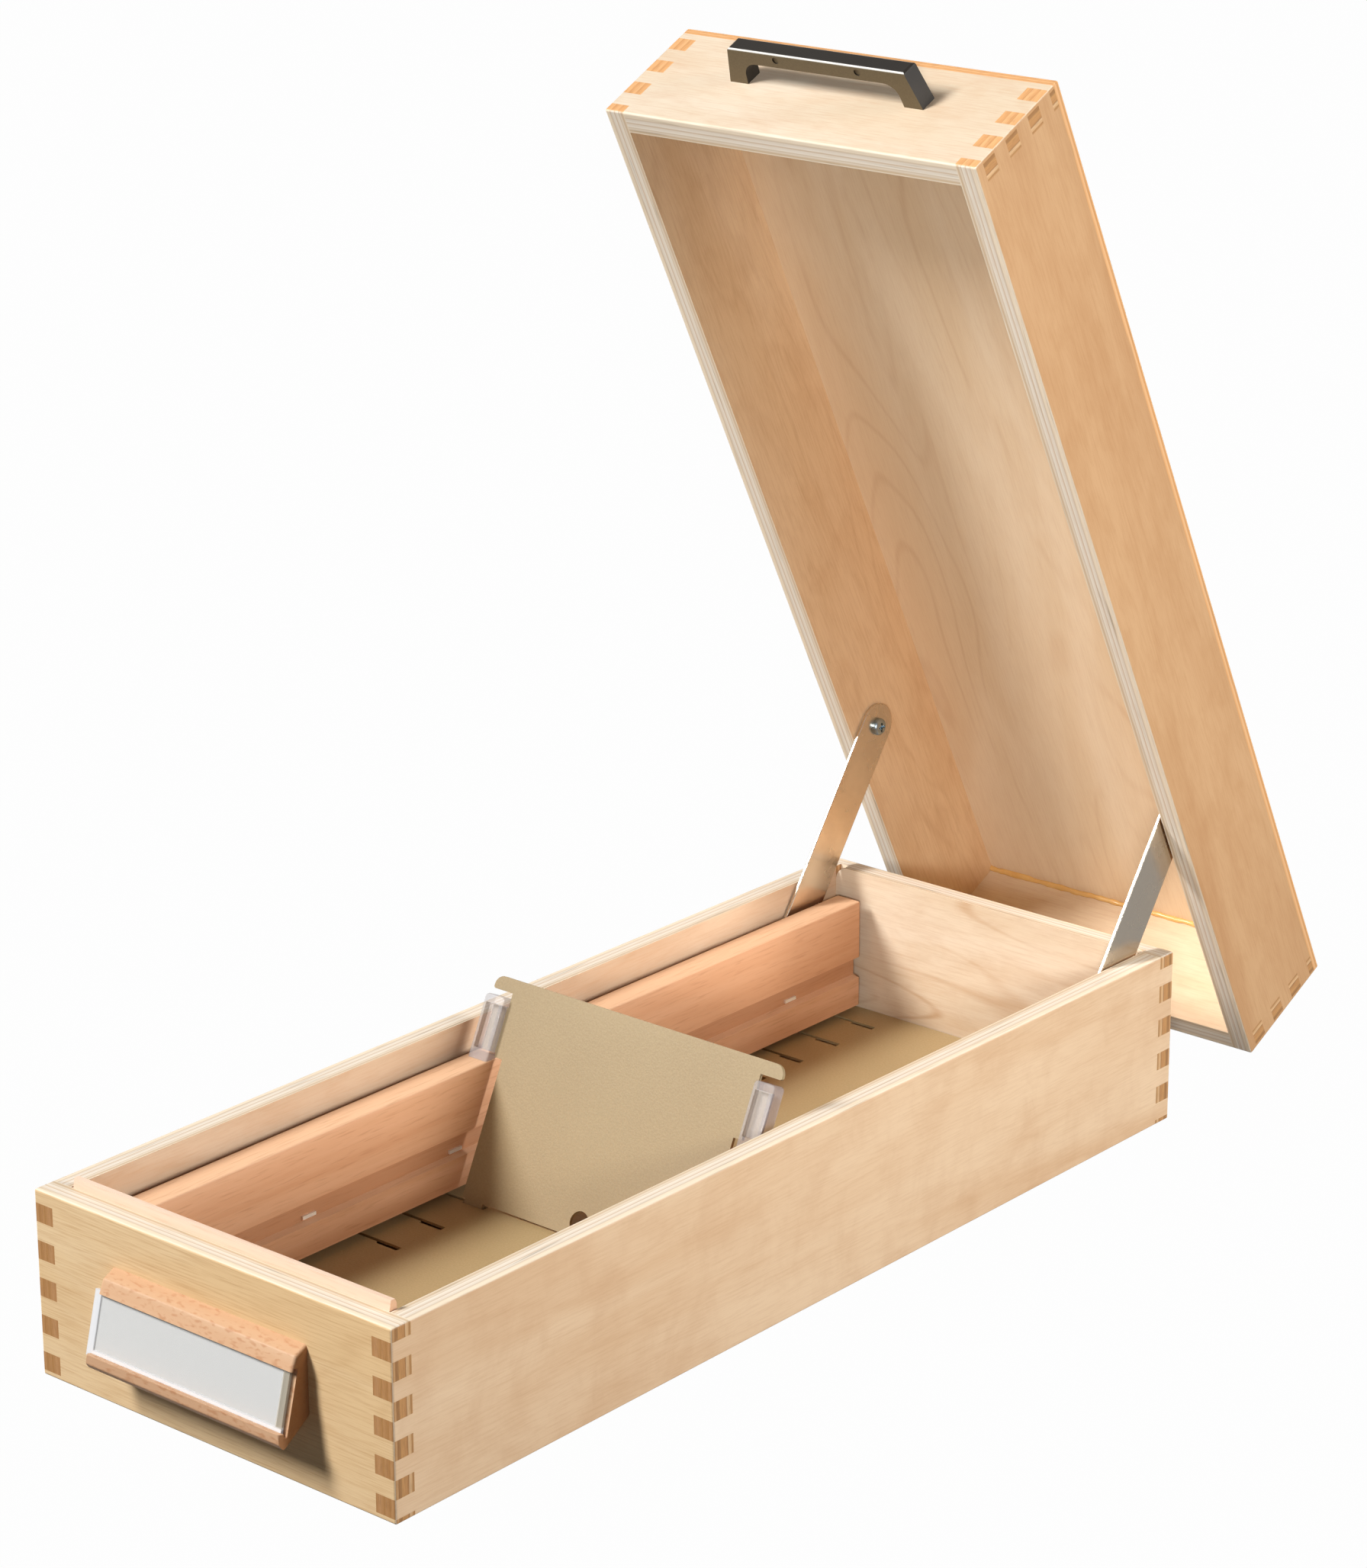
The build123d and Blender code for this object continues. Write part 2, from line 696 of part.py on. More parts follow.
with BuildPart() as support_plate:
    with BuildSketch(plate_plane) as outline:
        upright_bar(0, plate_foot_gap, plate_step, 2 * plate_half)
        upright_bar(0, plate_step, plate_top, 2 * waist_half)
        upright_bar(0, ear_low, plate_top, 2 * ear_half)
        upright_bar(0, tongue_low, tongue_high, 2 * (waist_half + tongue_length))
        for side in (-1, 1):
            upright_bar(side * tab_middle, plate_foot_gap - plate_tab_length, plate_foot_gap, plate_tab_width)
        with Locations((0, plate_hole_rise)):
            Circle(plate_hole_radius, mode=Mode.SUBTRACT)
        ear_ends = outline.vertices().filter_by(lambda corner: abs(corner.X) > ear_half - same_place)
        fillet(ear_ends.group_by(Axis.Y)[-1], radius=ear_round)
        ear_tips = outline.vertices().filter_by(lambda corner: abs(corner.Y - ear_low) < same_place)
        fillet(ear_tips.filter_by(lambda corner: abs(corner.X) > ear_half - same_place), radius=ear_tip_round)
    extrude(amount=plate_thickness / 2, both=True)

# Clear clips, cut level at the bottom where they rest on the rails
with BuildPart() as right_plate_clip:
    with BuildSketch(plate_plane.offset(-clip_rear)) as clip_outline:
        upright_bar(clip_inner + clip_width / 2, 0, clip_top, clip_width)
        fillet(clip_outline.vertices().group_by(Axis.Y)[-1], radius=clip_round)
    extrude(amount=clip_rear + clip_front)
    split(bisect_by=Plane.XY.offset(rail_top + seat_gap), keep=Keep.TOP)
    clip_faces = right_plate_clip.faces().sort_by(Axis(plate_plane.origin, plate_out))
    clip_edges = [face.edges().sort_by(Axis.Z)[1:] for face in (clip_faces[0], clip_faces[-1])]
    fillet(clip_edges[0] + clip_edges[1], radius=clip_ease)
    with BuildSketch(plate_plane.offset(clip_front)):
        upright_bar(clip_inner + clip_width / 2, tongue_low, tongue_high, clip_width - 2 * clip_rim)
    extrude(amount=-clip_hollow, mode=Mode.SUBTRACT)
    with BuildSketch(plate_plane.offset(-plate_thickness / 2 - tongue_clear)):
        upright_bar(
            clip_inner,
            tongue_low - tongue_clear,
            tongue_high + tongue_clear,
            2 * (waist_half + tongue_length + tongue_clear - clip_inner),
        )
    extrude(amount=plate_thickness + 2 * tongue_clear, mode=Mode.SUBTRACT)

with BuildPart() as left_plate_clip:
    mirror(right_plate_clip.part, about=Plane.YZ)

pieces = {
    "base_front_wall": base_front_wall,
    "base_rear_wall": base_rear_wall,
    "base_left_wall": base_left_wall,
    "base_right_wall": base_right_wall,
    "bottom_panel": bottom_panel,
    "slotted_floor": slotted_floor,
    "left_rail": left_rail,
    "right_rail": right_rail,
    "rail_staples": rail_staples,
    "locating_strip": locating_strip,
    "label_pull": label_pull,
    "pull_screws": pull_screws,
    "label_sleeve": label_sleeve,
    "label_card": label_card,
    "left_stay": left_stay,
    "right_stay": right_stay,
    "stay_base_screws": stay_base_screws,
    "stay_base_washers": stay_base_washers,
    "stay_lid_screws": stay_lid_screws,
    "stay_lid_washers": stay_lid_washers,
    "lid_front_wall": lid_front_wall,
    "lid_rear_wall": lid_rear_wall,
    "lid_left_wall": lid_left_wall,
    "lid_right_wall": lid_right_wall,
    "lid_top_panel": lid_top_panel,
    "carry_handle": carry_handle,
    "handle_screws": handle_screws,
    "support_plate": support_plate,
    "left_plate_clip": left_plate_clip,
    "right_plate_clip": right_plate_clip,
}

os.makedirs("parts", exist_ok=True)
for name, piece in pieces.items():
    piece.part.label = name
    export_step(piece.part, f"parts/{name}.step")
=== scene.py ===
import math

import bpy
from mathutils import Matrix, Vector


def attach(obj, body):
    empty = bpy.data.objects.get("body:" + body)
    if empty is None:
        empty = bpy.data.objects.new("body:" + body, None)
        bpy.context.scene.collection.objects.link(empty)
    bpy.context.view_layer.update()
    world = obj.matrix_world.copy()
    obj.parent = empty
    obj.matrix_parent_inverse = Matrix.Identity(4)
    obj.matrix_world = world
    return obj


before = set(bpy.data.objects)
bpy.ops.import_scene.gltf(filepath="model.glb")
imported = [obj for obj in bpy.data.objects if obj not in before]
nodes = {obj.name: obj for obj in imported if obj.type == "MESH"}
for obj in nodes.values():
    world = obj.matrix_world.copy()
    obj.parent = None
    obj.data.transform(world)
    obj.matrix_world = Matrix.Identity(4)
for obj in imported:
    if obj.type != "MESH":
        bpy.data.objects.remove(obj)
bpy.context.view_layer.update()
print("frame loaded:", len(nodes), "nodes")

# Places in the frame, in metres
lidAngle = math.radians(63.3)  # how far the lid is swung open at rest
lidShift = (0.0, 0.091398, -0.224880)  # brings the swung lid's rim to height 0, after the turn
stayAngle = math.radians(55.17)  # the stays' slope at rest
plateAngle = math.radians(25.5)  # how far the support plate leans back
halfLength = 0.1955  # from the middle to the outside of the front and rear walls
halfWidth = 0.076  # from the middle to the outside of the side walls
bottomFace = 0.004  # upper face of the bottom panel
lidFace = 0.0473  # outside of the lid's top panel, measured from the lid's rim


def hexToLinear(code):
    channels = [int(code[i:i + 2], 16) / 255 for i in (1, 3, 5)]
    return [c / 12.92 if c <= 0.04045 else ((c + 0.055) / 1.055) ** 2.4 for c in channels] + [1.0]


# A colour Mix has its share at input 0, its two colours at inputs 6 and 7, and its result at output 2
def addNode(tree, kind, settings, inputs):
    node = tree.nodes.new(kind)
    for key, value in settings.items():
        if key == "stops":  # the colours of a ramp, from its start to its end
            ramp = node.color_ramp.elements
            for share, code in value[1:-1]:
                ramp.new(share).color = hexToLinear(code)
            ramp[0].color = hexToLinear(value[0][1])
            ramp[len(ramp) - 1].color = hexToLinear(value[-1][1])
        else:
            setattr(node, key, value)
    for key, value in inputs.items():
        if isinstance(value, bpy.types.NodeSocket):
            tree.links.new(value, node.inputs[key])
        else:
            node.inputs[key].default_value = value
    return node


def startMaterial(name):
    material = bpy.data.materials.new(name)
    material.use_nodes = True
    return material, material.node_tree, material.node_tree.nodes["Principled BSDF"]


def dress(names, material):
    for name in names:
        slots = nodes[name].data.materials
        slots.clear()
        slots.append(material)


def stretched(along, across):
    return 1 / along, 1 / across, 1 / across


# Birch plywood of rotary-cut veneers, sanded and clear lacquered: calm pale faces with a soft figure
# and fine fibres, cream edges with thin tan plies, brown end grain where the fingers show
plywood = {
    "facePale": "#ECCDA9",
    "faceTan": "#E0BB94",
    "faceLine": "#C4946A",
    "lineStrength": 0.14,
    "fibreStrength": 0.30,
    "rimPlies": ((0, "#F0E1CA"), (0.22, "#EBDAC1"), (0.27, "#D3BEA4"), (0.33, "#E2D5C4"),
                 (0.46, "#EBE0D1"), (0.50, "#CFB597"), (0.56, "#E4D7C6"), (0.69, "#EDE2D2"),
                 (0.73, "#D4C0A6"), (0.79, "#E6D8C5"), (0.90, "#CDB290"), (1, "#EFE1CB")),
    "rimStain": "#7A6A57",
    "endPlies": ((0, "#BA8857"), (0.20, "#C39261"), (0.24, "#B3814E"), (0.50, "#C08F5E"),
                 (0.54, "#B58450"), (0.80, "#C49364"), (1, "#B78554")),
    "endStain": "#6B4A31",
    "thickness": 0.008,
    "plyWave": 0.10,  # how far a ply wanders, as a share of the thickness
    "figureAlong": 0.16,
    "figureAcross": 0.030,
    "ringCount": 14.0,
    "ringWidth": 0.13,
    "fibreAlong": 0.012,
    "fibreAcross": 0.0006,  # real fibres are finer and would not show
    "blotchAlong": 0.020,
    "blotchAcross": 0.009,
    "blotchStrength": 0.18,
    "stainPerMetre": (28.0, 240.0, 900.0),  # stains of about 36 by 4 by 1 mm
    "stainStrength": 0.60,
    "poresPerMetre": (900.0, 260.0, 2600.0),  # groups of pores, since single ones would not show
    "poreStrength": 0.38,
    "roughness": 0.46,
    "roughSpread": 0.16,
    "ior": 1.42,
    "specular": 0.25,
}


def paintPlywood(name, settings, grain, outerFace, onLid):
    material, tree, surface = startMaterial(name)
    coords = addNode(tree, "ShaderNodeTexCoord", {}, {})
    place, facing = coords.outputs["Object"], coords.outputs["Normal"]
    if onLid:  # the grain keeps to the lid's own length
        place = addNode(tree, "ShaderNodeMapping", {"vector_type": "POINT"},
                        {"Vector": place, "Rotation": (lidAngle, 0, 0), "Location": lidShift}).outputs[0]
        facing = addNode(tree, "ShaderNodeMapping", {"vector_type": "NORMAL"},
                         {"Vector": facing, "Rotation": (lidAngle, 0, 0)}).outputs[0]
    split = addNode(tree, "ShaderNodeSeparateXYZ", {}, {0: place})
    turned = addNode(tree, "ShaderNodeSeparateXYZ", {}, {0: facing})
    along, across, through = (split.outputs[axis] for axis in grain)
    board = addNode(tree, "ShaderNodeCombineXYZ", {}, {"X": along, "Y": across, "Z": through}).outputs[0]

    # broad figure and its contour lines
    figurePlace = addNode(tree, "ShaderNodeMapping", {},
                          {"Vector": board, "Scale": stretched(settings["figureAlong"], settings["figureAcross"])})
    figure = addNode(tree, "ShaderNodeTexNoise", {},
                     {"Vector": figurePlace.outputs[0], "Scale": 1.0, "Detail": 4.0, "Roughness": 0.55,
                      "Distortion": 0.6})
    figureShare = addNode(tree, "ShaderNodeMapRange", {"interpolation_type": "SMOOTHSTEP"},
                          {"Value": figure.outputs["Fac"], "From Min": 0.32, "From Max": 0.68})
    rings = addNode(tree, "ShaderNodeTexNoise", {},
                    {"Vector": figurePlace.outputs[0], "Scale": 0.6, "Detail": 1.5, "Roughness": 0.45,
                     "Distortion": 0.3})
    ringCount = addNode(tree, "ShaderNodeMath", {"operation": "MULTIPLY"},
                        {0: rings.outputs["Fac"], 1: settings["ringCount"]})
    ringWave = addNode(tree, "ShaderNodeMath", {"operation": "PINGPONG"}, {0: ringCount.outputs[0], 1: 0.5})
    ringLine = addNode(tree, "ShaderNodeMapRange", {"interpolation_type": "SMOOTHSTEP"},
                       {"Value": ringWave.outputs[0], "From Min": 0.0, "From Max": settings["ringWidth"],
                        "To Min": settings["lineStrength"], "To Max": 0.0})
    ringShare = addNode(tree, "ShaderNodeMath", {"operation": "MULTIPLY"},
                        {0: ringLine.outputs[0], 1: figureShare.outputs[0]})

    # soft blotches, where the cut takes in more or less of a growth ring
    blotchPlace = addNode(tree, "ShaderNodeMapping", {},
                          {"Vector": board, "Scale": stretched(settings["blotchAlong"], settings["blotchAcross"])})
    blotch = addNode(tree, "ShaderNodeTexNoise", {},
                     {"Vector": blotchPlace.outputs[0], "Scale": 1.0, "Detail": 4.0, "Roughness": 0.6,
                      "Distortion": 0.4})
    blotchShare = addNode(tree, "ShaderNodeMapRange", {"interpolation_type": "SMOOTHSTEP"},
                          {"Value": blotch.outputs["Fac"], "From Min": 0.40, "From Max": 0.72,
                           "To Max": settings["blotchStrength"]})

    # fine fibres
    fibrePlace = addNode(tree, "ShaderNodeMapping", {},
                         {"Vector": board, "Scale": stretched(settings["fibreAlong"], settings["fibreAcross"])})
    fibre = addNode(tree, "ShaderNodeTexNoise", {},
                    {"Vector": fibrePlace.outputs[0], "Scale": 1.0, "Detail": 3.0, "Roughness": 0.65})
    fibreShare = addNode(tree, "ShaderNodeMapRange", {},
                         {"Value": fibre.outputs["Fac"], "From Min": 0.45, "From Max": 0.80,
                          "To Max": settings["fibreStrength"]})

    face = addNode(tree, "ShaderNodeMix", {"data_type": "RGBA"},
                   {0: figureShare.outputs[0], 6: hexToLinear(settings["facePale"]),
                    7: hexToLinear(settings["faceTan"])})
    for share in (ringShare, blotchShare, fibreShare):
        face = addNode(tree, "ShaderNodeMix", {"data_type": "RGBA"},
                       {0: share.outputs[0], 6: face.outputs[2], 7: hexToLinear(settings["faceLine"])})

    # plies, from the outer face of the wall to its inner one
    depth = addNode(tree, "ShaderNodeMath", {"operation": "ABSOLUTE"}, {0: through})
    depth = addNode(tree, "ShaderNodeMath", {"operation": "SUBTRACT"}, {0: outerFace, 1: depth.outputs[0]})
    plies = addNode(tree, "ShaderNodeMath", {"operation": "DIVIDE"},
                    {0: depth.outputs[0], 1: settings["thickness"]})
    plies = addNode(tree, "ShaderNodeMath", {"operation": "MULTIPLY_ADD"},
                    {0: figure.outputs["Fac"], 1: settings["plyWave"], 2: plies.outputs[0]})
    plies = addNode(tree, "ShaderNodeMath", {"operation": "SUBTRACT", "use_clamp": True},
                    {0: plies.outputs[0], 1: settings["plyWave"] / 2})
    stainPlace = addNode(tree, "ShaderNodeMapping", {}, {"Vector": board, "Scale": settings["stainPerMetre"]})
    stain = addNode(tree, "ShaderNodeTexNoise", {},
                    {"Vector": stainPlace.outputs[0], "Scale": 1.0, "Detail": 2.0})
    stainShare = addNode(tree, "ShaderNodeMapRange", {},
                         {"Value": stain.outputs["Fac"], "From Min": 0.60, "From Max": 0.78,
                          "To Max": settings["stainStrength"]})
    rim = addNode(tree, "ShaderNodeValToRGB", {"stops": settings["rimPlies"]}, {0: plies.outputs[0]})
    rim = addNode(tree, "ShaderNodeMix", {"data_type": "RGBA"},
                  {0: stainShare.outputs[0], 6: rim.outputs[0], 7: hexToLinear(settings["rimStain"])})
    rim = addNode(tree, "ShaderNodeMix", {"data_type": "RGBA"},
                  {0: fibreShare.outputs[0], 6: rim.outputs[2], 7: hexToLinear(settings["faceTan"])})
    poresPlace = addNode(tree, "ShaderNodeMapping", {}, {"Vector": board, "Scale": settings["poresPerMetre"]})
    pores = addNode(tree, "ShaderNodeTexNoise", {},
                    {"Vector": poresPlace.outputs[0], "Scale": 1.0, "Detail": 3.0})
    poresShare = addNode(tree, "ShaderNodeMapRange", {},
                         {"Value": pores.outputs["Fac"], "From Min": 0.45, "From Max": 0.85,
                          "To Max": settings["poreStrength"]})
    end = addNode(tree, "ShaderNodeValToRGB", {"stops": settings["endPlies"]}, {0: plies.outputs[0]})
    end = addNode(tree, "ShaderNodeMix", {"data_type": "RGBA"},
                  {0: poresShare.outputs[0], 6: end.outputs[0], 7: hexToLinear(settings["endStain"])})

    # which of the three a spot is, by the way it faces
    isFace = addNode(tree, "ShaderNodeMath", {"operation": "ABSOLUTE"}, {0: turned.outputs[grain[2]]})
    isFace = addNode(tree, "ShaderNodeMapRange", {"interpolation_type": "SMOOTHSTEP"},
                     {"Value": isFace.outputs[0], "From Min": 0.6, "From Max": 0.95})
    isEnd = addNode(tree, "ShaderNodeMath", {"operation": "ABSOLUTE"}, {0: turned.outputs[grain[0]]})
    isEnd = addNode(tree, "ShaderNodeMapRange", {"interpolation_type": "SMOOTHSTEP"},
                    {"Value": isEnd.outputs[0], "From Min": 0.6, "From Max": 0.95})
    shown = addNode(tree, "ShaderNodeMix", {"data_type": "RGBA"},
                    {0: isFace.outputs[0], 6: rim.outputs[2], 7: face.outputs[2]})
    shown = addNode(tree, "ShaderNodeMix", {"data_type": "RGBA"},
                    {0: isEnd.outputs[0], 6: shown.outputs[2], 7: end.outputs[2]})
    tree.links.new(shown.outputs[2], surface.inputs["Base Color"])

    rough = addNode(tree, "ShaderNodeMath", {"operation": "MULTIPLY_ADD"},
                    {0: fibre.outputs["Fac"], 1: settings["roughSpread"],
                     2: settings["roughness"] - settings["roughSpread"] / 2})
    tree.links.new(rough.outputs[0], surface.inputs["Roughness"])
    bump = addNode(tree, "ShaderNodeBump", {},
                   {"Height": fibre.outputs["Fac"], "Strength": 0.10, "Distance": 0.0004})
    tree.links.new(bump.outputs[0], surface.inputs["Normal"])
    surface.inputs["IOR"].default_value = settings["ior"]
    surface.inputs["Specular IOR Level"].default_value = settings["specular"]
    return material


# The boards differ in tone, partly as their veneers do and partly as painted light and shade: each board is made
# darker or paler for the light that falls on it
stripedEnds = ((0, "#C0905F"), (0.15, "#CA9C6E"), (0.19, "#A2754A"), (0.33, "#AA7E53"),
               (0.38, "#C6945F"), (0.65, "#C08D5C"), (0.70, "#A5794D"), (0.75, "#DDB78C"),
               (0.87, "#D3A879"), (0.92, "#AF8052"), (1, "#C39462"))
orangeEnds = ((0, "#D9A26C"), (0.30, "#E0AC78"), (0.34, "#CB935E"), (0.65, "#E2AF7C"),
              (0.70, "#CE9763"), (1, "#DDA771"))
orangeRim = ((0, "#EFC79A"), (0.3, "#E0AA72"), (0.36, "#C58950"), (0.66, "#E6B684"), (1, "#D79E66"))
frontPlywood = dict(plywood, facePale="#F3D5A9", faceTan="#EBC897", faceLine="#BE8D58",
                    fibreStrength=0.55, fibreAlong=0.018, blotchStrength=0.05, endPlies=stripedEnds)
rearPlywood = dict(plywood, facePale="#DCCAB2", faceTan="#D2BC9E", faceLine="#B0845A",
                   lineStrength=0.65, endPlies=stripedEnds)
# painted shade: the left wall is darker, for the shade inside the box
baseLeftPlywood = dict(plywood, facePale="#DDC4A8", faceTan="#D2B394")
baseRightPlywood = dict(plywood, blotchAlong=0.017, blotchAcross=0.026,  # its figure runs up the wall
                        blotchStrength=0.22)
bottomPlywood = dict(plywood, thickness=0.004)
lidFrontPlywood = dict(plywood, facePale="#DCCDB8", faceTan="#D5C1A6", fibreStrength=0.42,
                       endPlies=stripedEnds)
lidRearPlywood = dict(plywood, facePale="#EED8BA", faceTan="#E8CDAA", endPlies=stripedEnds)
lidLeftPlywood = dict(plywood, facePale="#EFD0A9", faceTan="#E6C399", faceLine="#B9824F",
                      endPlies=orangeEnds)
# painted shade: the lid's right side is darker and more orange than the base's
lidRightPlywood = dict(plywood, facePale="#CFA57A", faceTan="#C3966B", faceLine="#AC7848",
                       endPlies=orangeEnds)
lidPanelPlywood = dict(plywood, facePale="#EED5B4", faceTan="#E6C9A4", lineStrength=0.22,
                       fibreStrength=0.2, blotchStrength=0.05, roughness=0.68, thickness=0.003,
                       endPlies=orangeEnds, rimPlies=orangeRim)
# for each board: its axes along, across and through, its outer face, and whether it turns with the lid
boards = (
    ("base_front_wall", "birchPlywoodFront", frontPlywood, "XZY", halfLength, False),
    ("base_rear_wall", "birchPlywoodRear", rearPlywood, "XZY", halfLength, False),
    ("base_left_wall", "birchPlywoodBaseLeft", baseLeftPlywood, "YZX", halfWidth, False),
    ("base_right_wall", "birchPlywoodBaseRight", baseRightPlywood, "YZX", halfWidth, False),
    ("bottom_panel", "birchPlywoodBottom", bottomPlywood, "YXZ", bottomFace, False),
    ("lid_front_wall", "birchPlywoodLidFront", lidFrontPlywood, "XZY", halfLength, True),
    ("lid_rear_wall", "birchPlywoodLidRear", lidRearPlywood, "XZY", halfLength, True),
    ("lid_left_wall", "birchPlywoodLidLeft", lidLeftPlywood, "YZX", halfWidth, True),
    ("lid_right_wall", "birchPlywoodLidRight", lidRightPlywood, "YZX", halfWidth, True),
    ("lid_top_panel", "birchPlywoodLidPanel", lidPanelPlywood, "YXZ", lidFace, True),
)
for piece, name, settings, grain, outerFace, onLid in boards:
    dress([piece], paintPlywood(name, settings, grain, outerFace, onLid))
print("plywood painted")

# Steamed beech, smoothed with a plane and clear lacquered: warm pinkish brown with short dark dashes along the
# grain
railBeech = {
    "pale": "#E0B08B",
    "deep": "#D29D76",
    "dash": "#A06840",
    # painted light: the tone of upward faces, for the light from above
    "top": "#EBC09A",
    "topLightStrength": 0.7,
    "end": "#C58C62",
    "endStrength": 0.8,
    # painted shade in the groove along the rails' inner faces
    "grooveFrom": 0.0540,
    "grooveTo": 0.0560,
    "grooveShadeStrength": 0.45,
    "bandAlong": 0.30,
    "bandAcross": 0.006,
    "dashAlong": 0.011,
    "dashAcross": 0.0007,  # real rays are half as wide
    "dashFrom": 0.56,
    "dashSpan": 0.18,
    "dashStrength": 0.24,
    "roughness": 0.45,
    "roughSpread": 0.2,
    "ior": 1.48,
    "specular": 0.25,
}
# on the pull the upward faces are painted darker, as painted shade
pullBeech = dict(railBeech, pale="#DFB793", deep="#D2A27B", top="#CBA27C", topLightStrength=0.5,
                 dash="#B9794E", end="#B07A50", dashStrength=0.5, dashAlong=0.0030, dashAcross=0.0012,
                 dashFrom=0.53, grooveShadeStrength=0.0)
stripBeech = dict(railBeech, pale="#EFD6C0", deep="#E6C4A8", topLightStrength=0.0, dash="#CF9C78",
                  end="#D5A680", grooveShadeStrength=0.0)


def paintBeech(name, settings, grain):
    material, tree, surface = startMaterial(name)
    coords = addNode(tree, "ShaderNodeTexCoord", {}, {})
    split = addNode(tree, "ShaderNodeSeparateXYZ", {}, {0: coords.outputs["Object"]})
    turned = addNode(tree, "ShaderNodeSeparateXYZ", {}, {0: coords.outputs["Normal"]})
    along, across, through = (split.outputs[axis] for axis in grain)
    board = addNode(tree, "ShaderNodeCombineXYZ", {}, {"X": along, "Y": across, "Z": through}).outputs[0]
    bandPlace = addNode(tree, "ShaderNodeMapping", {},
                        {"Vector": board, "Scale": stretched(settings["bandAlong"], settings["bandAcross"])})
    band = addNode(tree, "ShaderNodeTexNoise", {},
                   {"Vector": bandPlace.outputs[0], "Scale": 1.0, "Detail": 3.0, "Roughness": 0.6,
                    "Distortion": 0.2})
    bandShare = addNode(tree, "ShaderNodeMapRange", {},
                        {"Value": band.outputs["Fac"], "From Min": 0.3, "From Max": 0.7})
    dashPlace = addNode(tree, "ShaderNodeMapping", {},
                        {"Vector": board, "Scale": stretched(settings["dashAlong"], settings["dashAcross"])})
    dash = addNode(tree, "ShaderNodeTexNoise", {},
                   {"Vector": dashPlace.outputs[0], "Scale": 1.0, "Detail": 1.0, "Distortion": 0.3})
    dashShare = addNode(tree, "ShaderNodeMapRange", {},
                        {"Value": dash.outputs["Fac"], "From Min": settings["dashFrom"],
                         "From Max": settings["dashFrom"] + settings["dashSpan"],
                         "To Max": settings["dashStrength"]})
    wood = addNode(tree, "ShaderNodeMix", {"data_type": "RGBA"},
                   {0: bandShare.outputs[0], 6: hexToLinear(settings["pale"]), 7: hexToLinear(settings["deep"])})
    # painted light: upward sides get a tone of their own for the light from above, paler on the rails and darker
    # on the pull; the groove gets painted shade
    upward = addNode(tree, "ShaderNodeMapRange", {},
                     {"Value": turned.outputs["Z"], "From Min": 0.3, "From Max": 0.7})
    topLightAndShade = addNode(tree, "ShaderNodeMath", {"operation": "MULTIPLY"},
                     {0: upward.outputs[0], 1: settings["topLightStrength"]})
    wood = addNode(tree, "ShaderNodeMix", {"data_type": "RGBA"},
                   {0: topLightAndShade.outputs[0], 6: wood.outputs[2], 7: hexToLinear(settings["top"])})
    wood = addNode(tree, "ShaderNodeMix", {"data_type": "RGBA"},
                   {0: dashShare.outputs[0], 6: wood.outputs[2], 7: hexToLinear(settings["dash"])})
    # painted shade: the groove is darkened towards the dash colour, except on upward faces
    grooveShade = addNode(tree, "ShaderNodeMath", {"operation": "ABSOLUTE"}, {0: split.outputs["X"]})
    grooveShade = addNode(tree, "ShaderNodeMapRange", {},
                   {"Value": grooveShade.outputs[0], "From Min": settings["grooveFrom"],
                    "From Max": settings["grooveTo"], "To Max": settings["grooveShadeStrength"]})
    level = addNode(tree, "ShaderNodeMath", {"operation": "SUBTRACT"}, {0: 1.0, 1: upward.outputs[0]})
    grooveShade = addNode(tree, "ShaderNodeMath", {"operation": "MULTIPLY"}, {0: grooveShade.outputs[0], 1: level.outputs[0]})
    wood = addNode(tree, "ShaderNodeMix", {"data_type": "RGBA"},
                   {0: grooveShade.outputs[0], 6: wood.outputs[2], 7: hexToLinear(settings["dash"])})
    isEnd = addNode(tree, "ShaderNodeMath", {"operation": "ABSOLUTE"}, {0: turned.outputs[grain[0]]})
    isEnd = addNode(tree, "ShaderNodeMapRange", {},
                    {"Value": isEnd.outputs[0], "From Min": 0.6, "From Max": 0.95,
                     "To Max": settings["endStrength"]})
    wood = addNode(tree, "ShaderNodeMix", {"data_type": "RGBA"},
                   {0: isEnd.outputs[0], 6: wood.outputs[2], 7: hexToLinear(settings["end"])})
    tree.links.new(wood.outputs[2], surface.inputs["Base Color"])
    rough = addNode(tree, "ShaderNodeMath", {"operation": "MULTIPLY_ADD"},
                    {0: dash.outputs["Fac"], 1: settings["roughSpread"],
                     2: settings["roughness"] - settings["roughSpread"] / 2})
    tree.links.new(rough.outputs[0], surface.inputs["Roughness"])
    bump = addNode(tree, "ShaderNodeBump", {},
                   {"Height": dash.outputs["Fac"], "Strength": 0.15, "Distance": 0.0003})
    tree.links.new(bump.outputs[0], surface.inputs["Normal"])
    surface.inputs["IOR"].default_value = settings["ior"]
    surface.inputs["Specular IOR Level"].default_value = settings["specular"]
    return material


dress(["left_rail", "right_rail"], paintBeech("steamedBeechRails", railBeech, "YZX"))
dress(["label_pull"], paintBeech("beechPull", pullBeech, "XZY"))
dress(["locating_strip"], paintBeech("beechStrip", stripBeech, "XZY"))
print("beech painted")

# Sheet steel with a baked satin coating in olive beige: even colour, a fine grain that softens the highlights
coating = {
    "beige": "#BCA378",
    "deep": "#AF966A",
    "grain": 0.0007,
    "grainWeight": 0.9,
    "cloud": 0.06,
    "roughness": 0.42,
    "roughSpread": 0.14,
}
# painted shade: the plate has the floor's coating, painted darker to offset the stronger light it catches
plateCoating = dict(coating, beige="#A4906C", deep="#988360")


